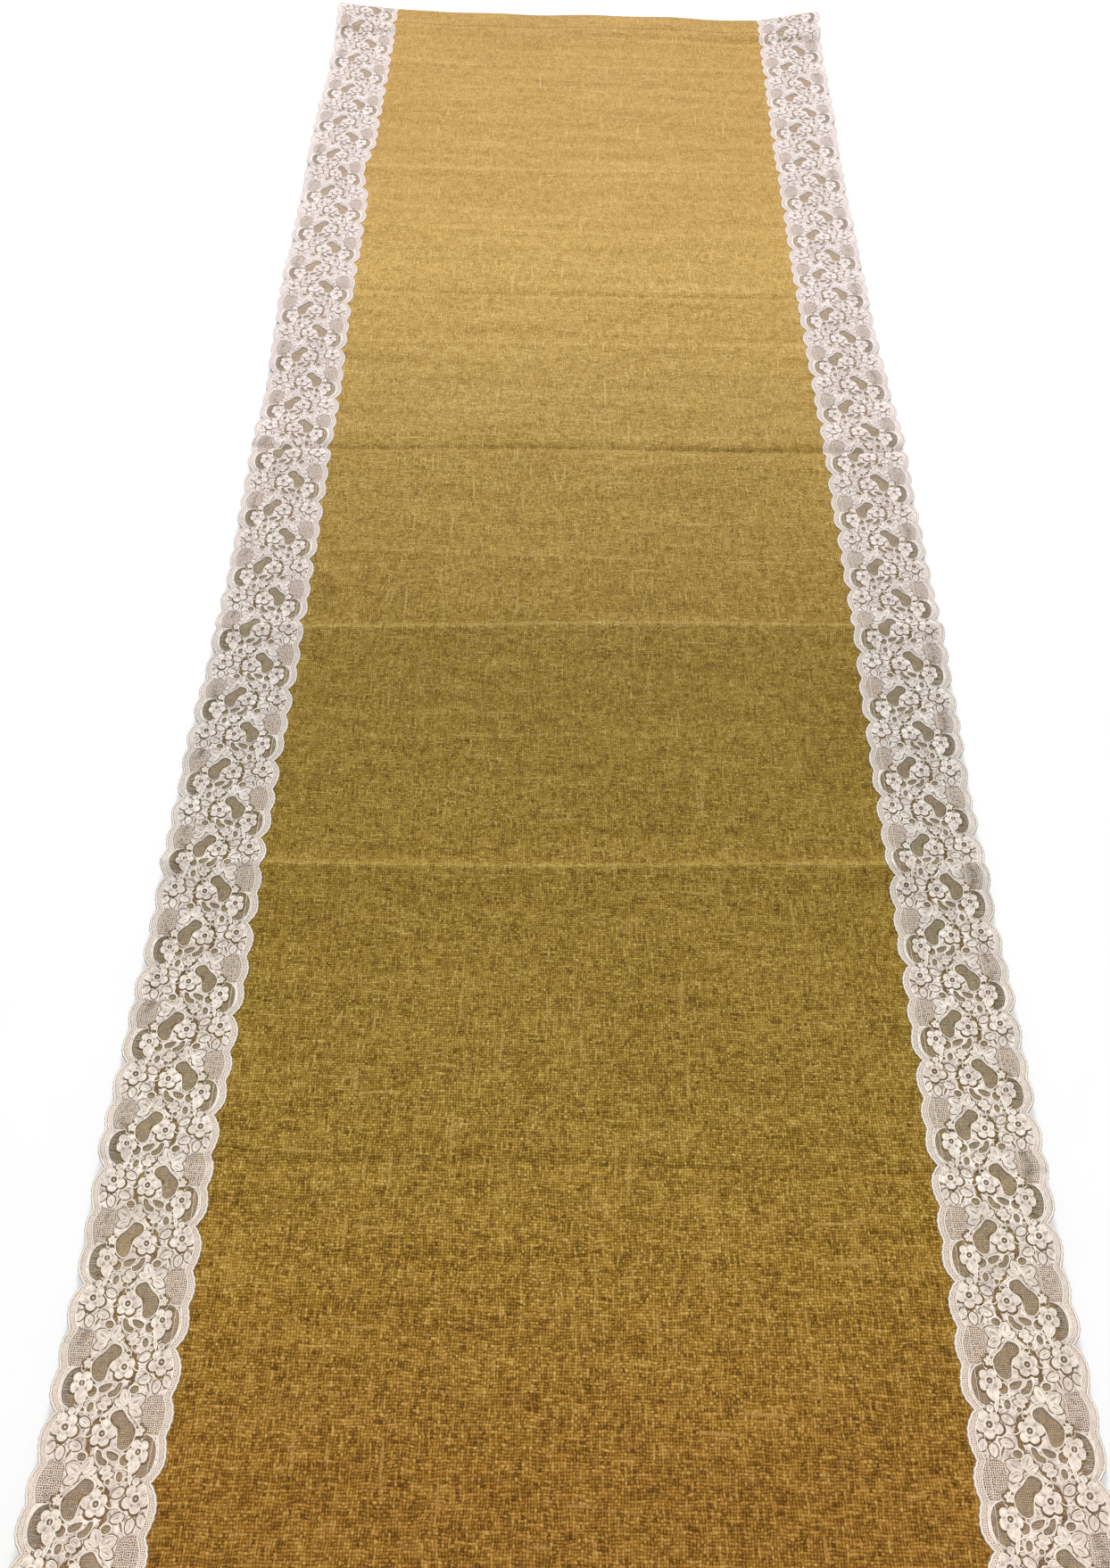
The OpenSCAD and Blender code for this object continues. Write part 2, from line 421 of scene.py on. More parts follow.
def stitch_line(start, stop):
    """Places along a seam and how far the thread is pulled in there, from 0 on top to 1 in the hole."""
    stitches = round((stop - start) / STITCH_L)
    places = [0, 0.12, 0.3, 0.7, 0.88]
    pull = [1, 0.3, 0, 0, 0.3]
    s = np.concatenate([start + (i + np.array(places)) * STITCH_L for i in range(stitches)])
    return s, np.tile(pull, stitches)


def build_stitches(name, path, radius, material, slot):
    """The stitches of one sewing thread, in place of its CAD node."""
    piece = make_piece(name + "_stitches", *tube(path, radius), material, slot)
    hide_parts(name + "_thread")
    return piece


def build_lace_seam(name, x, material):
    """Needle and bobbin thread of one seam that holds the lace."""
    s, pull = stitch_line(-LACE_END + 1, LACE_END - 1)
    needle = on_face(x, s, 0.50 - 0.35 * pull)
    s, pull = stitch_line(-FLAT_Y, FLAT_Y)
    bobbin = np.column_stack([np.full(len(s), x), s, PULL_DEPTH * pull - 0.06])
    return [
        build_stitches(name + "_needle", needle, NEEDLE_R, material, "lace_thread"),
        build_stitches(name + "_bobbin", bobbin, THREAD_R, material, "lace_thread"),
    ]


def build_hem_seam(name, y, material):
    """Needle and bobbin thread of one hem."""
    s, pull = stitch_line(-CLOTH_HALF_W + 1, CLOTH_HALF_W - 1)
    for layer, z, sign in (("_needle", HEM_TOP + 0.08, -1), ("_bobbin", -0.06, 1)):
        path = np.column_stack([s, np.full(len(s), y), z + sign * PULL_DEPTH * pull])
        build_stitches(name + layer, path, THREAD_R, material, "hem_thread")


def build_overlock(side, name, material):
    """Thread looped over the cut side edge of the cloth."""
    edge, outer = CLOTH_HALF_W, CLOTH_HALF_W + 0.15
    half, inner = edge - OVERLOCK_W / 2, edge - OVERLOCK_W
    top, middle_z, under = CLOTH_T + OVERLOCK_RISE, CLOTH_T / 2, -0.6 * OVERLOCK_RISE
    inner_top, inner_under = CLOTH_T + 0.4 * OVERLOCK_RISE, -0.4 * OVERLOCK_RISE
    # One loop: place across, share of the loop's length, height
    loop = [
        (inner, 0.0, inner_top), (half, 0.15, top), (edge, 0.3, top), (outer, 0.4, middle_z),
        (edge, 0.5, under), (half, 0.35, under), (inner, 0.55, inner_under), (half, 0.75, under),
        (edge, 0.62, under), (outer, 0.7, middle_z), (edge, 0.8, top), (half, 0.85, top),
    ]
    count = round(2 * FLAT_Y / OVERLOCK_LOOP)
    path = [(side * x, -FLAT_Y + (i + t) * OVERLOCK_LOOP, z) for i in range(count) for x, t, z in loop]
    piece = make_piece(name + "_loops", *tube(path, OVERLOCK_R, 4), material, "overlock_thread")
    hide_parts(name)


# ---- Lace pattern ----
# The pattern is made of half units. In each one u runs across the trim, towards the scalloped edge that the
# half unit belongs to, and v along it, away from the near end. The open flower is at v = 0. The next half
# unit belongs to the other edge: it is the same one with u mirrored, half a repeat further on.

REPEATS = 52
REPEAT = 2 * HALF_L / REPEATS
HALF_REPEAT = REPEAT / 2
FLOWER_FROM_START = 5.9
PHASES = {"left": 0.85, "right": 0.0}

# Scallops of one repeat: notch place and depth, from the top of the net lobe down
NOTCHES = [(14.7, 1.7), (4.6, 1.2), (-7.3, 3.0), (14.7 - REPEAT, 1.7)]
PICOT_PITCH = 1.9
PICOT = 0.28
BAND_W = 2.2
EDGE_INSET = 0.3
RIM_INSET = 0.35

# The left trim is pulled in at one place: place along it, reach and depth
PINCH = (735, 16, 4)
RIM_LIFT = 1.1
NET_H = 0.10
FILL_H = 0.12
LOBE_H = 0.17
GROUND_H = 0.30
MOAT = 0.8
LEAF_MOAT = 0.5
GAP_W = 1.35
WAIST = 0.52

# Cords: width, height, and the level they stand on; low flanks take the lace's painted shade
OPENING_CORD = (0.50, 0.42, 0.12)
STEM_CORD = (0.52, 0.44, 0.14)
LEAF_CORD = (0.40, 0.40, 0.18)
FLOWER_CORD = (0.56, 0.46, 0.12)
RING_CORD = (0.44, 0.36, 0.26)
OUTER_RIM_CORD = (0.95, 0.50, 0.05)
INNER_RIM_CORD = (0.65, 0.40, 0.10)


def scallop_edge(v):
    """Distance of the scalloped edge from the trim's middle line."""
    v = NOTCHES[3][0] + np.mod(np.asarray(v, float) - NOTCHES[3][0], REPEAT)
    edge = np.zeros_like(v)
    for (high, high_depth), (low, low_depth) in zip(NOTCHES[:-1], NOTCHES[1:]):
        t = (high - v) / (high - low)
        depth = np.where(t < 0.5, high_depth, low_depth)
        edge = np.where((t >= 0) & (t <= 1), LACE_HALF_W - depth * (1 - 2 * t) ** 2, edge)
    return edge


def winding(v):
    """The dark line that winds along the middle, between the two edges' half units."""
    return -5.1 * np.cos(2 * np.pi * (np.asarray(v, float) - 3.8) / REPEAT)


def winding_width(v):
    """Half the width of that line, which opens and closes along it."""
    return GAP_W / 2 * (0.72 + 0.5 * np.sin(2 * np.pi * 5 * np.asarray(v, float) / HALF_REPEAT))


def ellipse(u, v, across, along, turn=0.0):
    """A closed outline; turn is in degrees."""
    count = max(9, round(math.pi * (across + along) / 2 / 0.75))
    angle = np.linspace(0, 2 * np.pi, count, endpoint=False)
    a, b = across / 2 * np.cos(angle), along / 2 * np.sin(angle)
    c, s = math.cos(math.radians(turn)), math.sin(math.radians(turn))
    return np.column_stack([u + a * c - b * s, v + a * s + b * c])


def curve(points, closed=False, parts=3):
    """A smooth line through a few points."""
    points = np.array(points, float)
    if closed:
        before, after, end = np.roll(points, 1, 0), np.roll(points, -1, 0), np.roll(points, -2, 0)
    else:
        padded = np.vstack([2 * points[0] - points[1], points, 2 * points[-1] - points[-2]])
        before, after, end = padded[:-3], padded[2:-1], padded[3:]
        points = padded[1:-2]
    t = (np.arange(parts) / parts)[None, :, None]
    p0, p1, p2, p3 = (p[:, None, :] for p in (before, points, after, end))
    line = 0.5 * (2 * p1 + (p2 - p0) * t + (2 * p0 - 5 * p1 + 4 * p2 - p3) * t ** 2
                  + (3 * p1 - p0 - 3 * p2 + p3) * t ** 3)
    line = line.reshape(-1, 2)
    return line if closed else np.vstack([line, after[-1]])


def leaf(base, tip, width, grow=0.0):
    """A pointed leaf's closed outline, grown by some distance."""
    base, tip = np.array(base, float), np.array(tip, float)
    longer = (tip - base) / np.linalg.norm(tip - base) * grow
    base, tip, width = base - longer, tip + longer, width + 2 * grow
    side = np.array([base[1] - tip[1], tip[0] - base[0]]) / np.linalg.norm(tip - base)
    t = np.linspace(0, 1, 7)[:, None]
    bulge = width / 2 * np.sin(np.pi * t ** 0.85) ** 0.6
    line = base + (tip - base) * t
    return np.vstack([line + side * bulge, (line - side * bulge)[-2:0:-1]])


def petal_reach(angle, sizes, turn):
    """Radius of a flower's outline, and how far each angle is from its petal's middle, from 0 to 1."""
    sizes = np.array(sizes, float)
    petal = (angle - math.radians(turn)) / (2 * np.pi) * len(sizes)
    nearest = np.round(petal).astype(int)
    off = petal - nearest
    beside = sizes[(nearest + np.sign(off).astype(int)) % len(sizes)]
    size = sizes[nearest % len(sizes)] * (1 - np.abs(off)) + beside * np.abs(off)
    return size * (WAIST + (1 - WAIST) * np.cos(np.pi * off) ** 0.55), 2 * np.abs(off)


def petal_angles(sizes):
    """Directions of the points on a flower's outline."""
    count = max(20, round(2 * np.pi * max(sizes) / 0.62))
    return np.linspace(0, 2 * np.pi, count, endpoint=False)


def blossom_outline(flower, grow=0.0):
    """A flower's closed outline, grown by some distance."""
    (u, v), sizes, turn, _ = flower
    angle = petal_angles(sizes)
    reach = petal_reach(angle, sizes, turn)[0] + grow
    return np.column_stack([u + reach * np.cos(angle), v + reach * np.sin(angle)])


# Flowers: middle, petal sizes, direction of the first petal in degrees, radius of the ring in the middle
FLOWERS = [
    ((10.4, 0.4), (5.6, 3.2, 3.4, 3.3, 3.3), -98, 1.15),
    ((-1.3, 4.9), (3.8, 3.3, 3.7, 3.4, 4.4), 80, 1.2),
    ((12.4, -11.2), (4.0, 3.8, 4.0, 3.7, 3.9), 60, 1.3),
    ((9.8, 5.6), (1.5, 1.3, 1.4, 1.3, 1.4), 90, 0.4),
]
# Leaves and single petals: base, tip and width
LEAVES = [
    ((4.9, 12.2), (9.3, 14.6), 3.5), ((4.3, 12.5), (2.5, 16.6), 3.1), ((3.8, 12.2), (0.5, 13.7), 2.1),
    ((5.3, 11.8), (9.2, 10.0), 2.6), ((10.0, -15.4), (6.4, -16.6), 2.2), ((14.4, -15.0), (15.6, -18.0), 2.0),
    ((12.4, -16.0), (12.0, -19.6), 2.2), ((12.4, -7.4), (10.6, -6.6), 1.8), ((3.6, -3.6), (0.4, -5.0), 2.0),
    ((8.6, -9.0), (5.4, -10.8), 2.2), ((1.4, -6.4), (4.6, -5.0), 1.5), ((8.8, -3.4), (10.0, -8.2), 0.9),
]
# Openings with a corded edge
OPENINGS = [
    curve([(1.4, 10.9), (3.4, 11.3), (4.8, 10.0), (5.8, 8.8), (7.4, 7.6), (8.6, 5.8), (8.4, 3.4), (7.3, 1.4),
           (5.4, 0.6), (3.8, 1.4), (3.4, 3.4), (2.8, 5.8), (1.4, 6.9), (0.2, 8.2), (0.2, 9.8)], closed=True),
    curve([(1.0, 0.5), (3.0, 0.5), (5.0, -0.5), (4.9, -1.9), (3.4, -2.2), (1.6, -1.2)], closed=True),
    curve([(-1.8, 0.8), (-1.8, -1.2), (-0.4, -3.0), (1.7, -3.4), (2.1, -2.0), (0.5, -1.0), (-0.4, 0.6)],
          closed=True),
    curve([(5.7, -0.7), (7.2, 0.0), (8.4, -1.4), (7.6, -3.3), (5.9, -3.0), (5.3, -1.7)], closed=True),
    ellipse(5.7, 16.5, 3.1, 2.6, 15),
    ellipse(9.0, -6.5, 2.5, 1.5, 10),
    ellipse(6.4, -5.9, 2.3, 3.1, 10),
    ellipse(3.3, -7.2, 1.8, 1.9),
    ellipse(1.7, -9.0, 2.3, 1.5, 25),
    ellipse(9.6, -17.8, 1.1, 3.8, 25),
]
# The opening round the outer side of the open flower
CLEARING = curve([(12.0, 5.2), (14.3, 3.9), (15.6, 1.6), (15.9, -0.8), (15.6, -3.0), (14.6, -5.2),
                  (12.8, -6.5), (11.4, -6.0), (11.0, -3.0), (11.0, 2.0)], closed=True)
# Plain cords: the outer edge of that opening, and stems
STEMS = [
    curve([(11.8, 5.1), (14.3, 3.9), (15.6, 1.6), (15.9, -0.8), (15.6, -3.0), (14.6, -5.2), (12.6, -6.5)]),
    curve([(4.2, 12.4), (2.2, 12.3), (0.2, 11.2), (-1.3, 9.4)]),
    curve([(4.4, 11.8), (2.0, 11.5), (0.4, 10.4), (-0.4, 8.8)]),
    curve([(5.6, 10.8), (7.0, 9.2), (8.8, 7.8), (9.6, 6.2)]),
    curve([(9.4, -14.6), (7.6, -13.4), (5.2, -13.6), (3.4, -12.2)]),
    curve([(5.0, -4.0), (7.4, -3.9), (8.8, -4.6)]),
]
# The net lobe, and the worked dots on it
LOBE = curve([(10.0, 14.2), (12.6, 15.0), (16.0, 14.6), (18.2, 10.0), (16.6, 5.2), (13.4, 5.0), (10.8, 5.2),
              (9.8, 7.6), (9.6, 10.8)], closed=True)
DOTS = [
    (12.5, 10.6), (11.2, 11.6), (11.6, 9.4), (13.2, 9.0),
    (12.9, 7.3), (14.2, 10.8), (13.2, 12.6), (14.4, 8.0),
]


def half_unit_origins(start, first, last):
    """The half units along a trim: which way u points, and where v is 0."""
    return [(1 if n % 2 == 0 else -1, start - n * HALF_REPEAT) for n in range(first, last + 1)]


def tiled(shape, start):
    """A half unit's shape at every half unit along a trim whose first flower is at start."""
    points, faces = shape
    copies = []
    for sign, origin in half_unit_origins(start, -2, 2 * REPEATS + 2):
        moved = points * [sign, 1, 1] + [0, origin, 0]
        copies.append((moved, faces if sign > 0 else faces[:, ::-1]))
    return joined(copies)


def compacted(faces):
    """The points that triangles use, and the triangles numbered over those alone."""
    used, index = np.unique(faces, return_inverse=True)
    return used, index.reshape(-1, 3)


def cut_at_ends(points, faces):
    """The trim cut straight across at both ends."""
    outside = np.abs(points[:, 1]) >= LACE_END
    used, faces = compacted(faces[~outside[faces].all(axis=1)])
    points = points[used]
    points[:, 1] = np.clip(points[:, 1], -LACE_END, LACE_END)
    return points, faces


def cord(line, size, closed):
    """A raised cord along a line: points (u, v, h) and triangles."""
    width, height, base = size
    forward = np.roll(line, -1, 0) - np.roll(line, 1, 0)
    if not closed:
        forward = np.gradient(line, axis=0)
    forward /= np.linalg.norm(forward, axis=1, keepdims=True) + 1e-9
    side = np.column_stack([-forward[:, 1], forward[:, 0]])
    profile = [(-0.5, 0), (0, 1), (0.5, 0)]
    columns = [raised(line + side * across * width, base + up * height) for across, up in profile]
    points = np.stack(columns, axis=1).reshape(-1, 3)
    return points, grid_faces(len(line), len(profile), closed_rows=closed)[:, ::-1]


# Rows of a raised flower, from its middle out: share of the way from the ring to the petals' edge, share of
# the ring's radius, height, and how much of the height goes in the creases between petals
PETAL_ROWS = [
    (0, 0.62, 0.20, 0), (0, 1, 0.50, 0), (0.22, 1, 0.34, 0.28),
    (0.55, 1, 0.46, 0.63), (0.84, 1, 0.42, 0.77), (1, 1, 0.20, 0.21),
]


def blossom(flower):
    """A raised flower: a ring round its middle, and crowned petals with creases between them."""
    (u, v), sizes, turn, ring = flower
    angle = petal_angles(sizes)
    reach, off = petal_reach(angle, sizes, turn)
    rows = []
    for share, radius, height, dent in PETAL_ROWS:
        r = ring * radius + share * (reach - ring)
        top = height * (1 - dent * off ** 4)
        rows.append(np.column_stack([u + r * np.cos(angle), v + r * np.sin(angle), top]))
    return np.concatenate(rows), grid_faces(len(rows), len(angle), closed_columns=True)[:, ::-1]


def raised_leaf(base, tip, width):
    """A leaf with a groove along its middle."""
    outline = leaf(base, tip, width)
    middle_line = np.linspace(base, tip, 7)
    left, right = outline[:7], np.vstack([outline[:1], outline[:6:-1], outline[6:7]])
    groove = 0.24 * np.sin(np.linspace(0, np.pi, 7)) ** 2
    lines = [(left, 1, 0.28), (left, 0.3, 0.46), (left, 0, 0.46), (right, 0.3, 0.46), (right, 1, 0.28)]
    rows = []
    for edge, share, height in lines:
        plan = middle_line + (edge - middle_line) * share
        rows.append(np.column_stack([plan, height - groove * (share == 0)]))
    return np.concatenate(rows), grid_faces(len(lines), len(groove))[:, ::-1]


def dot(u, v, size=0.8, top=0.42):
    """A small worked dot, like a flat cone."""
    rim = ellipse(u, v, size, size)
    count = len(rim)
    faces = np.array([[0, 1 + i, 1 + (i + 1) % count] for i in range(count)])
    return np.vstack([[u, v, top], raised(rim, 0.16)]), faces


def inside(outline, points):
    """Which points are inside a closed outline."""
    a, b = outline, np.roll(outline, -1, 0)
    u, v = points[:, 0][:, None], points[:, 1][:, None]
    crosses = (a[:, 1] > v) != (b[:, 1] > v)
    slope = (b[:, 0] - a[:, 0]) / np.where(a[:, 1] == b[:, 1], 1, b[:, 1] - a[:, 1])
    return (crosses & (u < a[:, 0] + slope * (v - a[:, 1]))).sum(axis=1) % 2 == 1


def inside_any(outlines, points):
    """Which points are inside at least one closed outline."""
    return np.any([inside(outline, points) for outline in outlines], axis=0)


def edge_lines(inset, low, high):
    """Both edges' lines, some way in from the scallops, between two places along the trim."""
    count = round((high - low) / 0.8)
    v = np.linspace(low, high, count + 1)
    right = np.column_stack([scallop_edge(v) - inset, v])
    left = np.column_stack([inset - scallop_edge(v + HALF_REPEAT), v])
    return right, left


def pattern_outlines():
    """Outlines of the openings, of the gaps round flowers and leaves, and of the net lobes."""
    openings, moats, lobes = [], [], []
    for sign, origin in half_unit_origins(0, -2, 2):
        mirror, shift = [sign, 1], [0, origin]
        openings += [outline * mirror + shift for outline in [*OPENINGS, CLEARING]]
        moats += [blossom_outline(flower, MOAT) * mirror + shift for flower in FLOWERS]
        moats += [leaf(*one, LEAF_MOAT) * mirror + shift for one in LEAVES]
        lobes.append(LOBE * mirror + shift)
    return openings, moats, lobes


PATTERN_START = -10.0
PATTERN_END = PATTERN_START + HALF_REPEAT
PATTERN_REACH = 2
POINT_PITCH = 1.25


def pattern_lines():
    """Lines that triangles have to follow: the winding line's sides, the rims, and the cuts at both ends."""
    low, high = PATTERN_START - PATTERN_REACH, PATTERN_END + PATTERN_REACH
    v = np.linspace(low, high, round((high - low) / 0.6))
    lines = [np.column_stack([winding(v) + side * winding_width(v), v]) for side in (-1, 1)]
    lines += [*edge_lines(EDGE_INSET, low, high), *edge_lines(BAND_W, low, high)]
    across = np.arange(-20, 20.1, POINT_PITCH)
    lines += [np.column_stack([across, np.full(len(across), cut)]) for cut in (PATTERN_START, PATTERN_END)]
    return lines


def triangulated(closed, lines):
    """Triangles that follow closed outlines and open lines, with evenly spread points between them."""
    points, edges = [], []
    for line, is_closed in [(line, True) for line in closed] + [(line, False) for line in lines]:
        start, count = len(points), len(line)
        points += [Vector(p) for p in line]
        edges += [(start + i, start + (i + 1) % count) for i in range(count if is_closed else count - 1)]
    for j, row in enumerate(np.arange(PATTERN_START + 0.5, PATTERN_END - 0.3, POINT_PITCH * 0.87)):
        points += [Vector((u, row)) for u in np.arange(-18 + (j % 2) * POINT_PITCH / 2, 18, POINT_PITCH)]
    vertices, _, faces, *_ = delaunay_2d_cdt(points, edges, [], 0, 1e-4)
    return np.array([tuple(p) for p in vertices]), np.array(faces)


def cut_pattern():
    """Half a repeat of the flat trim as triangles: ground, net lobes, rim bands and filled openings."""
    openings, moats, lobes = pattern_outlines()
    vertices, faces = triangulated(openings + moats + lobes, pattern_lines())
    centre = vertices[faces].mean(axis=1)
    u, v = centre.T
    edge = np.where(u > 0, scallop_edge(v), scallop_edge(v + HALF_REPEAT))
    in_trim = (v > PATTERN_START) & (v < PATTERN_END) & (np.abs(u) < edge - EDGE_INSET)
    band = in_trim & (np.abs(u) > edge - BAND_W)
    gap = inside_any(moats, centre) | (np.abs(u - winding(v)) < winding_width(v))
    worked = in_trim & ~band & ~gap
    fill = worked & inside_any(openings, centre)
    lobe = worked & ~fill & inside_any(lobes, centre)
    ground = worked & ~fill & ~lobe
    chosen = {"ground": ground, "net_lobes": lobe, "rim_bands": band, "opening_nets": fill}
    return vertices, {name: faces[those] for name, those in chosen.items()}


def with_skirt(vertices, faces, height, floor):
    """A flat patch raised to a height, with its edges drawn down, except along the cuts between tiles."""
    used, faces = compacted(faces)
    plan = vertices[used]
    edges = np.concatenate([faces[:, [0, 1]], faces[:, [1, 2]], faces[:, [2, 0]]])
    key = np.sort(edges, axis=1)
    _, first, counts = np.unique(key, axis=0, return_index=True, return_counts=True)
    border = edges[first[counts == 1]]
    for cut in (PATTERN_START, PATTERN_END):
        border = border[np.any(np.abs(plan[border, 1] - cut) >= 1e-3, axis=1)]
    a, b = border.T
    count = len(plan)
    skirt = np.concatenate([np.column_stack([b, a, a + count]), np.column_stack([b, a + count, b + count])])
    used, faces = compacted(np.concatenate([faces, skirt]))
    return np.vstack([raised(plan, height), raised(plan, floor)])[used], faces


def rim_lines():
    """The double cord along the scallops of one half unit's edge, with picots on the outer one."""
    v = np.linspace(NOTCHES[3][0], NOTCHES[0][0], 76)
    picot = PICOT * np.abs(np.sin(np.pi * v / PICOT_PITCH))
    outer = np.column_stack([scallop_edge(v) - RIM_INSET + picot, v])
    inner = np.column_stack([scallop_edge(v) - BAND_W, v])
    return outer, inner


def rippled(points):
    """Small unevenness of worked lace, the same wherever two shapes meet."""
    u, v, h = points.T
    ripple = 0.05 * np.sin(u * 2.1 + v * 1.3) + 0.05 * np.sin(u * 1.1 - v * 2.7)
    return np.column_stack([u, v, h * (1 + ripple)])


def lace_place(side, points):
    """Points (u, v, h) of a trim, on the runner that lies flat."""
    u, v, h = rippled(points).T
    sign = -1 if side == "left" else 1
    across = u
    if side == "left":
        place, reach, depth = PINCH
        across = u - depth * np.exp(-(((v - place) / reach) ** 2)) * smooth((u + 5) / 20)
    flutter = 0.75 + 0.35 * np.sin(v / 9.0) + 0.3 * np.sin(v / 4.1 + 1)
    return on_face(sign * LACE_X + across, v, h + RIM_LIFT * flutter * smooth((sign * u - 11.5) / 7))


def lace_piece(side, name, shape, material):
    """One piece of a trim from its shape in the trim's own plan."""
    points, faces = cut_at_ends(*shape)
    return make_piece(f"{side}_lace_{name}", lace_place(side, points), faces, material, "lace", points)


def net_shape(start):
    """The fine net under the whole trim, from scallop to scallop."""
    v = np.arange(-LACE_END - 1, LACE_END + 1.01, 0.9)
    share = np.linspace(0, 1, 11)
    right = scallop_edge(v - start)
    left = -scallop_edge(v - start + HALF_REPEAT)
    u = left[:, None] + (right - left)[:, None] * share
    return grid_points(u, v[:, None], NET_H), grid_faces(len(v), len(share))


# Flat patches of the pattern: name, height, and how far down its edges reach
PATCHES = [
    ("ground", GROUND_H, NET_H), ("net_lobes", LOBE_H, LOBE_H - 0.02),
    ("rim_bands", LOBE_H, LOBE_H - 0.02), ("opening_nets", FILL_H, FILL_H - 0.01),
]


def raised_shapes():
    """The shapes that stand out of each half unit, by the name of their piece."""
    flowers, rings = [], []
    for flower in FLOWERS:
        place, _, _, ring = flower
        flowers += [blossom(flower), dot(*place, 0.7 * ring, 0.5)]
        rings.append(cord(blossom_outline(flower, -0.15), FLOWER_CORD, closed=True))
        rings.append(cord(ellipse(*place, 2 * ring, 2 * ring), RING_CORD, closed=True))
    leaves = [raised_leaf(*one) for one in LEAVES] + [dot(*place) for place in DOTS]
    outlines = [cord(outline, OPENING_CORD, closed=True) for outline in OPENINGS]
    outlines += [cord(line, STEM_CORD, closed=False) for line in STEMS]
    outlines += [cord(leaf(*one), LEAF_CORD, closed=True) for one in LEAVES]
    outer, inner = rim_lines()
    rims = [cord(outer, OUTER_RIM_CORD, closed=False), cord(inner, INNER_RIM_CORD, closed=False)]
    return {
        "flowers": flowers,
        "leaves": leaves,
        "outline_cords": outlines,
        "flower_cords": rings,
        "rim_cords": rims,
    }


def build_lace(side, materials):
    """One lace trim: net, worked ground, net lobes, rim bands, flowers, leaves and cords."""
    start = HALF_L - FLOWER_FROM_START + PHASES[side] * REPEAT
    net = lace_piece(side, "net", net_shape(start), materials["net"])
    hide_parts(side + "_lace_trim")
    vertices, patches = PATTERN
    pieces = []
    for name, height, floor in PATCHES:
        shape = with_skirt(vertices, patches[name], height, floor)
        pieces.append(lace_piece(side, name, tiled(shape, start), materials[name]))
    for name, shapes in raised_shapes().items():
        material = materials["cords" if name.endswith("cords") else "flowers"]
        pieces.append(lace_piece(side, name, tiled(joined(shapes), start), material))
    return net, pieces


# ---- Materials ----

class Shader:
    """A material, and a short way to write its nodes."""

    def __init__(self, name, roughness, sheen=0.0):
        self.material = bpy.data.materials.new(name)
        self.material.use_nodes = True
        self.tree = self.material.node_tree
        self.surface = self.tree.nodes["Principled BSDF"]
        self.set("Roughness", roughness)
        self.set("Sheen Weight", sheen)

    def node(self, kind, inputs=(), output=0, **settings):
        """Adds a node with its inputs and settings, and gives back one of its outputs."""
        node = self.tree.nodes.new("ShaderNode" + kind)
        for key, value in settings.items():
            setattr(node, key, value)
        for key, value in dict(inputs).items():
            self.join(value, node.inputs[key])
        return node.outputs[output]

    def join(self, value, socket):
        """Links an output to a socket, or sets the socket to a plain value."""
        if isinstance(value, bpy.types.NodeSocket):
            self.tree.links.new(value, socket)
        else:
            socket.default_value = value

    def math(self, operation, *values):
        return self.node("Math", dict(enumerate(values)), operation=operation)

    def flat(self):
        """Place on the flat cloth or trim, in metres."""
        return self.node("Attribute", output="Vector", attribute_name="flat")

    def split(self, vector):
        """The x, y and z of a vector."""
        return tuple(self.node("SeparateXYZ", {0: vector}).node.outputs)

    def scaled(self, vector, factors):
        return self.node("VectorMath", {0: vector, 1: factors}, operation="MULTIPLY")

    def noise(self, vector, scale, detail=2.0, roughness=0.5):
        inputs = {"Vector": vector, "Scale": scale, "Detail": detail, "Roughness": roughness}
        return self.node("TexNoise", inputs, output="Fac")

    def ramp(self, value, *stops):
        """Colours or greys over 0 to 1: stops are (place, colour)."""
        node = self.tree.nodes.new("ShaderNodeValToRGB")
        self.join(value, node.inputs[0])
        elements = node.color_ramp.elements
        while len(elements) < len(stops):
            elements.new(0.5)
        for element, (place, colour) in zip(elements, stops):
            element.position = place
            element.color = (*colour, 1) if hasattr(colour, "__len__") else (colour, colour, colour, 1)
        return node.outputs[0]

    def mixed(self, share, colour, other, blend="MIX"):
        """One colour mixed with a share of another one."""
        return self.node("Mix", {0: share, 6: colour, 7: other}, output=2, data_type="RGBA", blend_type=blend)

    def multiplied(self, colour, by):
        return self.mixed(1.0, colour, by, "MULTIPLY")

    def set(self, name, value):
        """Links or sets one input of the surface."""
        self.join(value, self.surface.inputs[name])

    def bump(self, height, distance, strength):
        inputs = {"Height": height, "Distance": distance, "Strength": strength}
        self.set("Normal", self.node("Bump", inputs))


# Place along the runner, in metres, that is 1 on the ramps of the colours that change along it
RAMP_END = 0.8


def painted_light_along_runner(s, colour, y):
    """Cloth colour with painted light along the runner: browner towards the near end and much paler towards
    the far one.
    """
    painted_gradient = s.ramp(s.math("DIVIDE", y, RAMP_END), (0.11, (0.55, 0.42, 0.235)), (0.18, (0.59, 0.52, 0.30)),
                 (0.27, (0.52, 0.52, 0.31)), (0.46, (0.46, 0.47, 0.30)), (0.80, (0.91, 0.92, 0.95)),
                 (1.0, (0.90, 0.855, 0.87)))
    return s.multiplied(colour, painted_gradient)


def painted_lace_light_along_runner(s, colour, y):
    """Lace colour along the runner: creamier near, painted shade greys the middle, painted light pales both
    ends.
    """
    place = s.math("DIVIDE", y, RAMP_END)
    painted_gradient = s.ramp(place, (0.11, (1.0, 0.92, 0.79)), (0.22, (1.0, 0.96, 0.86)), (0.45, (0.88, 0.87, 0.81)),
                 (0.62, (0.96, 0.92, 0.87)), (0.80, (0.98, 0.925, 0.905)))
    # Painted light: a share of pale pink towards both ends
    painted_end_light = s.ramp(place, (0.11, 0.15), (0.28, 0.0), (0.42, 0.0), (0.85, 0.35))
    return s.mixed(painted_end_light, s.multiplied(colour, painted_gradient), (1.0, 0.88, 0.84, 1))


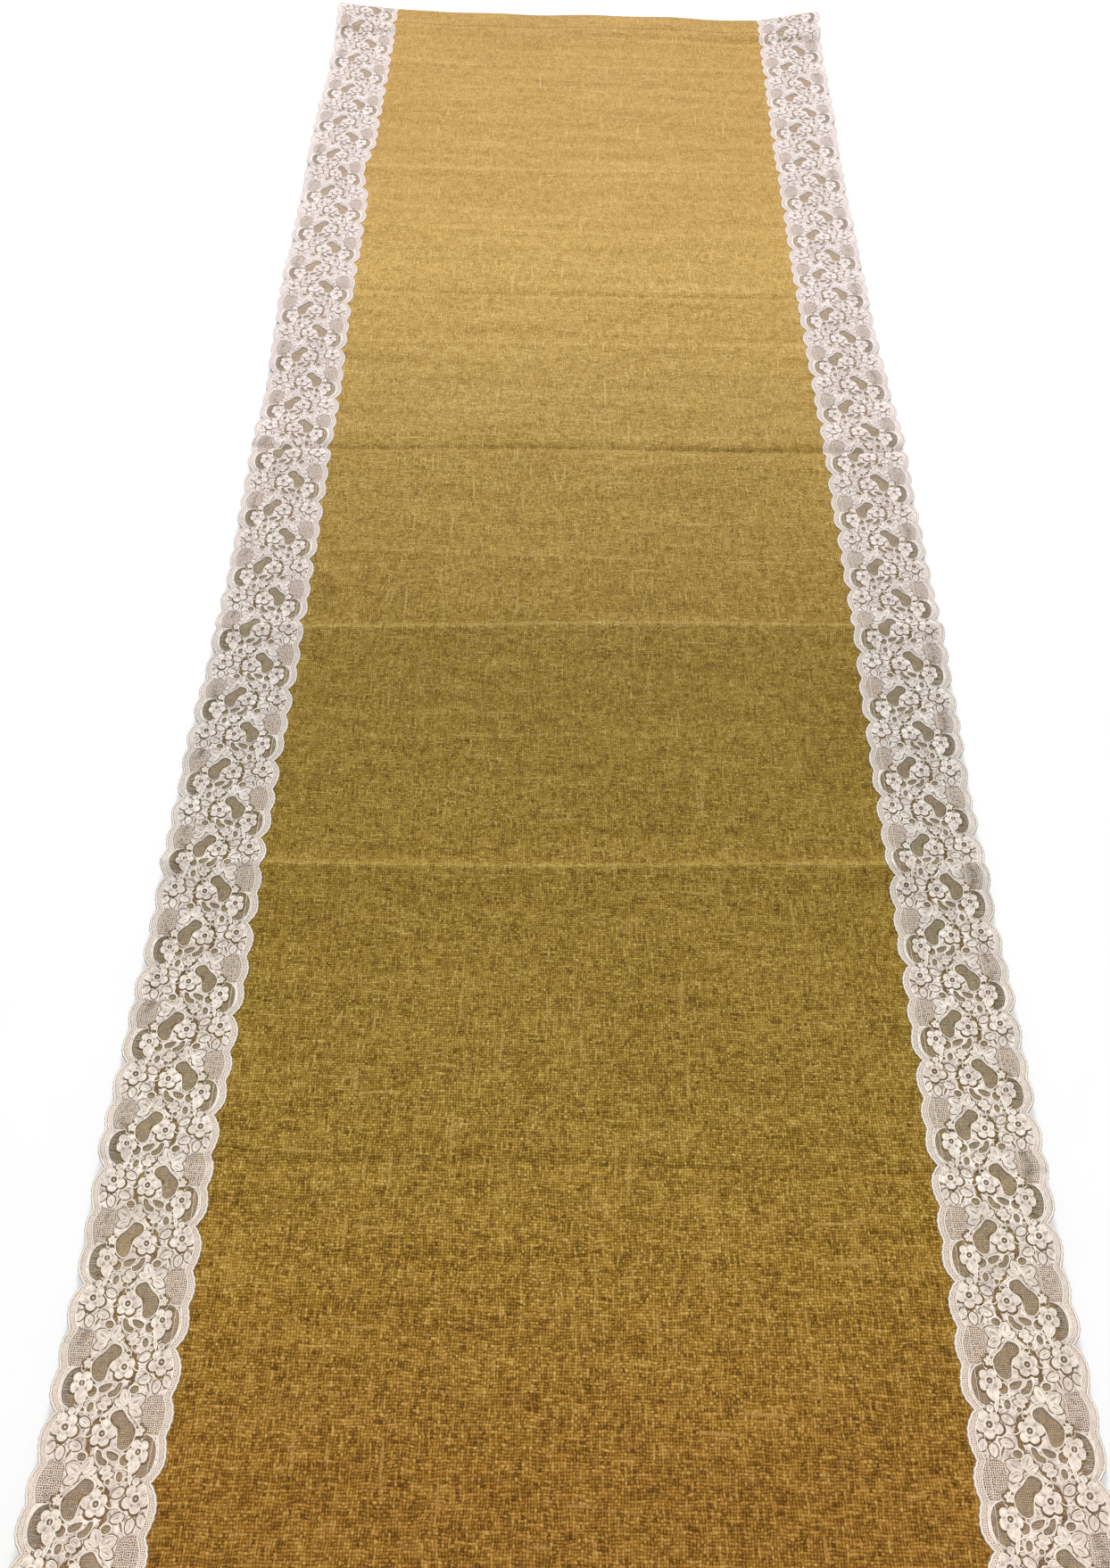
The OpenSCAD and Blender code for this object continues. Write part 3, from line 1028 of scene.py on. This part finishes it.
def thread_tone(s, across, along, seed):
    """A value that differs from thread to thread and changes slowly along each one."""
    across = s.math("MULTIPLY", across, 7.31)
    vector = s.node("CombineXYZ", {0: across, 1: s.math("MULTIPLY", along, 0.14), 2: seed})
    return s.noise(vector, 1.0, 5.0, 0.85)


def thread_profile(s, position, index, thickness):
    """Round section of a thread, and its place across it from -1 to 1."""
    offset = s.math("MULTIPLY_ADD", s.math("SUBTRACT", position, index), 2.0, -1.0)
    width = s.math("MULTIPLY_ADD", thickness, 0.9, 0.45)
    share = s.math("DIVIDE", offset, width)
    rest = s.math("SUBTRACT", 1.0, s.math("MULTIPLY", share, share))
    return s.math("SQRT", s.math("MAXIMUM", rest, 0.0)), offset


def thread_crown(s, section, crossing, sign):
    """Height of a thread that goes over and under the ones that cross it."""
    bend = s.math("MULTIPLY", s.math("COSINE", s.math("MULTIPLY", crossing, math.pi / 2)), sign)
    return s.math("MULTIPLY", section, s.math("MULTIPLY_ADD", bend, 0.4, 1.0))


def plain_weave(s, place):
    """Height of a slightly wandering plain weave, and the tone of the thread on top."""
    x, y, _ = s.split(place)
    drift = s.math("SUBTRACT", s.noise(place, 110.0, 4.0, 0.6), 0.5)
    threads = 1 / (WEAVE_PITCH * MM)
    warp_place = s.math("MULTIPLY_ADD", x, threads, s.math("MULTIPLY", drift, 3.0))
    weft_place = s.math("MULTIPLY_ADD", y, threads, s.math("MULTIPLY", drift, -3.0))
    warp = s.math("FLOOR", warp_place)
    weft = s.math("FLOOR", weft_place)
    warp_tone = thread_tone(s, warp, weft_place, 0.0)
    weft_tone = thread_tone(s, weft, warp_place, 40.0)
    warp_section, warp_offset = thread_profile(s, warp_place, warp, warp_tone)
    weft_section, weft_offset = thread_profile(s, weft_place, weft, weft_tone)
    over = s.math("MULTIPLY_ADD", s.math("FLOORED_MODULO", s.math("ADD", warp, weft), 2.0), 2.0, -1.0)
    warp_height = thread_crown(s, warp_section, weft_offset, over)
    weft_height = thread_crown(s, weft_section, warp_offset, s.math("MULTIPLY", over, -1.0))
    on_top = s.math("GREATER_THAN", warp_height, weft_height)
    tone = s.node("Mix", {0: on_top, 2: weft_tone, 3: warp_tone}, data_type="FLOAT")
    return s.math("MAXIMUM", warp_height, weft_height), tone


def burlap_material():
    """Plain jute weave with thread-to-thread differences, thick and thin places, and painted shade in its
    gaps.
    """
    s = Shader("burlap_weave", 0.7, sheen=0.8)
    s.set("Specular IOR Level", 0.1)
    s.set("Sheen Tint", (1.0, 0.70, 0.34, 1))
    s.set("Sheen Roughness", 0.3)
    place = s.flat()
    y = s.split(place)[1]
    height, tone = plain_weave(s, place)
    bands = s.noise(s.scaled(place, (12.0, 130.0, 1.0)), 1.0, 3.0)
    ridge_highlight = s.node("Attribute", output="Fac", attribute_name="painted_crest_highlight")
    # Painted shade: the low places and gaps of the weave are darker
    shade = s.math("MULTIPLY_ADD", tone, 2.5, s.math("MULTIPLY", height, 0.34))
    contrast = s.node("MapRange", {0: y, 1: 0.1, 2: 0.7, 3: 1.4, 4: 0.62})
    shade = s.math("MULTIPLY_ADD", s.math("SUBTRACT", shade, 1.72), contrast, 0.93)
    shade = s.math("MULTIPLY_ADD", bands, 0.28, shade)
    # Painted highlight: paler along the crease ridges
    shade = s.math("SUBTRACT", s.math("MULTIPLY_ADD", ridge_highlight, 0.24, shade), 0.48)
    colour = s.ramp(shade, (0.0, (0.16, 0.085, 0.013)), (0.35, (0.45, 0.265, 0.058)),
                    (0.62, (0.74, 0.475, 0.14)), (1.0, (1.0, 0.80, 0.40)))
    # Painted light along the runner pales the cloth towards the far end
    s.set("Base Color", painted_light_along_runner(s, colour, y))
    s.bump(height, 0.00028, 0.6)
    return s.material


def jute_material(name, dark, light):
    """Bare jute fibre, for slubs and hairs."""
    s = Shader(name, 0.8, sheen=0.3)
    place = s.flat()
    grain = s.noise(place, 900.0, 3.0)
    # Same painted light along the runner as the cloth
    s.set("Base Color", painted_light_along_runner(s, s.ramp(grain, (0.3, dark), (0.75, light)), s.split(place)[1]))
    s.bump(grain, 0.0001, 0.6)
    return s.material


def thread_material(name, dark, light):
    """Twisted sewing thread."""
    s = Shader(name, 0.6, sheen=0.2)
    place = s.node("TexCoord", output="Object")
    twist = s.node("TexWave", {"Vector": place, "Scale": 900.0, "Distortion": 3.0}, output="Fac",
                   bands_direction="DIAGONAL")
    s.set("Base Color", s.ramp(twist, (0.1, dark), (0.9, light)))
    s.bump(twist, 0.00006, 0.7)
    return s.material


def lace_material(name, low, high, painted_shade_levels, spots=None, grain=1500.0, depth=0.0002):
    """Worked lace: fine stitches with a changing cast, and painted shade in the dips between the raised
    parts.
    """
    s = Shader(name, 0.8, sheen=0.15)
    s.set("Specular IOR Level", 0.2)
    place = s.flat()
    _, y, level = s.split(place)
    stitches = s.noise(s.scaled(place, (1.0, 0.55, 1.0)), grain, 2.0)
    cast = s.noise(place, 120.0, 2.0)
    tone = s.math("MULTIPLY_ADD", cast, 0.5, s.math("MULTIPLY", stitches, 0.6))
    colour = s.ramp(tone, (0.38, low), (0.70, high))
    if spots is not None:
        cells = s.node("TexVoronoi", {"Vector": place, "Scale": 850.0}, output="Distance")
        colour = s.mixed(s.ramp(cells, (0.16, 1.0), (0.36, 0.0)), colour, (*spots, 1))
    # Painted shade: darker below the given levels, in dips, on skirts and on low cord flanks
    worked = s.node("MapRange", {0: level, 1: painted_shade_levels[0] * MM, 2: painted_shade_levels[1] * MM}, interpolation_type="SMOOTHSTEP")
    shade = s.ramp(worked, (0.0, (0.15, 0.12, 0.08)), (1.0, (1.0, 1.0, 1.0)))
    # Painted light and shade along the runner
    s.set("Base Color", painted_lace_light_along_runner(s, s.multiplied(colour, shade), y))
    s.bump(stitches, depth, 0.8)
    return s.material


def net_material(name, colour, cell, thread):
    """A see-through net of small cells: cell is their size, thread the thread's share of it."""
    s = Shader(name, 0.7, sheen=0.1)
    place = s.flat()
    inputs = {"Vector": place, "Scale": 1 / (cell * MM), "Randomness": 0.55}
    cells = s.node("TexVoronoi", inputs, "Distance", feature="DISTANCE_TO_EDGE", voronoi_dimensions="2D")
    strand = s.ramp(cells, (thread * 0.8, 1.0), (thread, 0.0))
    darker = tuple(0.86 * c for c in colour)
    tint = s.ramp(s.noise(place, 400.0, 2.0), (0.3, darker), (0.7, colour))
    s.set("Base Color", painted_lace_light_along_runner(s, tint, s.split(place)[1]))
    s.set("Alpha", strand)
    s.bump(strand, 0.0001, 0.5)
    return s.material


def floor_material():
    """Plain pale floor."""
    s = Shader("pale_floor", 0.9)
    grain = s.noise(s.node("TexCoord", output="Object"), 30.0, 2.0)
    s.set("Base Color", s.ramp(grain, (0.2, (0.93, 0.93, 0.93)), (0.8, (0.95, 0.95, 0.95))))
    return s.material


# ---- Build ----

PATTERN = cut_pattern()
lace_materials = {
    # Painted shade: this net is near black, so the gaps and moats over it look shaded
    "net": net_material("lace_net", (0.15, 0.12, 0.095), 0.55, 0.10),
    "opening_nets": net_material("lace_opening_net", (0.72, 0.64, 0.55), 0.5, 0.075),
    "net_lobes": net_material("lace_net_lobe", (0.92, 0.80, 0.74), 0.6, 0.17),
    "rim_bands": net_material("lace_rim_band", (0.92, 0.82, 0.79), 0.5, 0.27),
    # Levels in mm below which painted shade darkens the worked lace
    "ground": lace_material("lace_ground", (0.46, 0.38, 0.37), (1.0, 0.93, 0.93), (0.12, 0.29),
                            spots=(0.24, 0.18, 0.14)),
    "flowers": lace_material("lace_flower", (0.56, 0.47, 0.45), (1.0, 0.95, 0.94), (0.16, 0.44)),
    "cords": lace_material("lace_cord", (0.90, 0.85, 0.80), (1.0, 0.99, 0.98), (0.14, 0.42),
                           grain=2200.0, depth=0.0001),
}
burlap_thread = jute_material("jute_slub", (0.50, 0.30, 0.07), (0.95, 0.66, 0.22))
lace_thread = thread_material("lace_thread", (0.80, 0.70, 0.60), (0.93, 0.84, 0.74))
hem_thread = thread_material("hem_thread", (0.26, 0.17, 0.05), (0.46, 0.33, 0.12))
overlock_thread = thread_material("overlock_thread", (0.62, 0.56, 0.46), (0.80, 0.74, 0.64))

burlap, cut_length = build_burlap(burlap_material())
on_burlap = [build_slubs(burlap_thread), build_fibres(burlap_thread)]
for end, sign in (("far", 1), ("near", -1)):
    build_hem_seam(end + "_hem", sign * HEM_SEAM_Y, hem_thread)
for edge, sign in (("left", -1), ("right", 1)):
    build_overlock(sign, edge + "_edge_overlock", overlock_thread)
    seams = build_lace_seam(edge + "_inner", sign * INNER_SEAM_X, lace_thread)
    seams += build_lace_seam(edge + "_outer", sign * OUTER_SEAM_X, lace_thread)
    net, worked = build_lace(edge, lace_materials)

# ---- Stage: floor, light and camera ----

bpy.ops.mesh.primitive_plane_add(size=8, location=(0, 0, 0))
floor = bpy.context.object
floor.name = "floor"
floor.data.materials.append(floor_material())

world = bpy.data.worlds.new("studio")
bpy.context.scene.world = world
world.use_nodes = True
background = world.node_tree.nodes["Background"]
background.inputs["Color"].default_value = (1.0, 1.0, 1.0, 1)
background.inputs["Strength"].default_value = 0.28


def soft_light(name, place, target, size, power):
    """A square studio light that points at a target."""
    data = bpy.data.lights.new(name, "AREA")
    data.size = size
    data.energy = power
    light = bpy.data.objects.new(name, data)
    light.location = place
    light.rotation_euler = (Vector(target) - Vector(place)).to_track_quat("-Z", "Y").to_euler()
    bpy.context.scene.collection.objects.link(light)


soft_light("overhead", (0.0, -0.1, 2.2), (0, 0.3, 0), 1.0, 26)
soft_light("far_window", (0.0, 3.0, 1.6), (0, 0.4, 0), 0.8, 62)

camera_data = bpy.data.cameras.new("camera")
camera_data.lens = 28.26
camera_data.clip_start = 0.01
camera = bpy.data.objects.new("camera", camera_data)
camera.location = (-0.001, 0.066, 0.402)
camera.rotation_euler = (math.radians(32.9), 0, math.radians(0.98))
bpy.context.scene.collection.objects.link(camera)
bpy.context.scene.camera = camera
bpy.context.scene.view_settings.view_transform = "Standard"
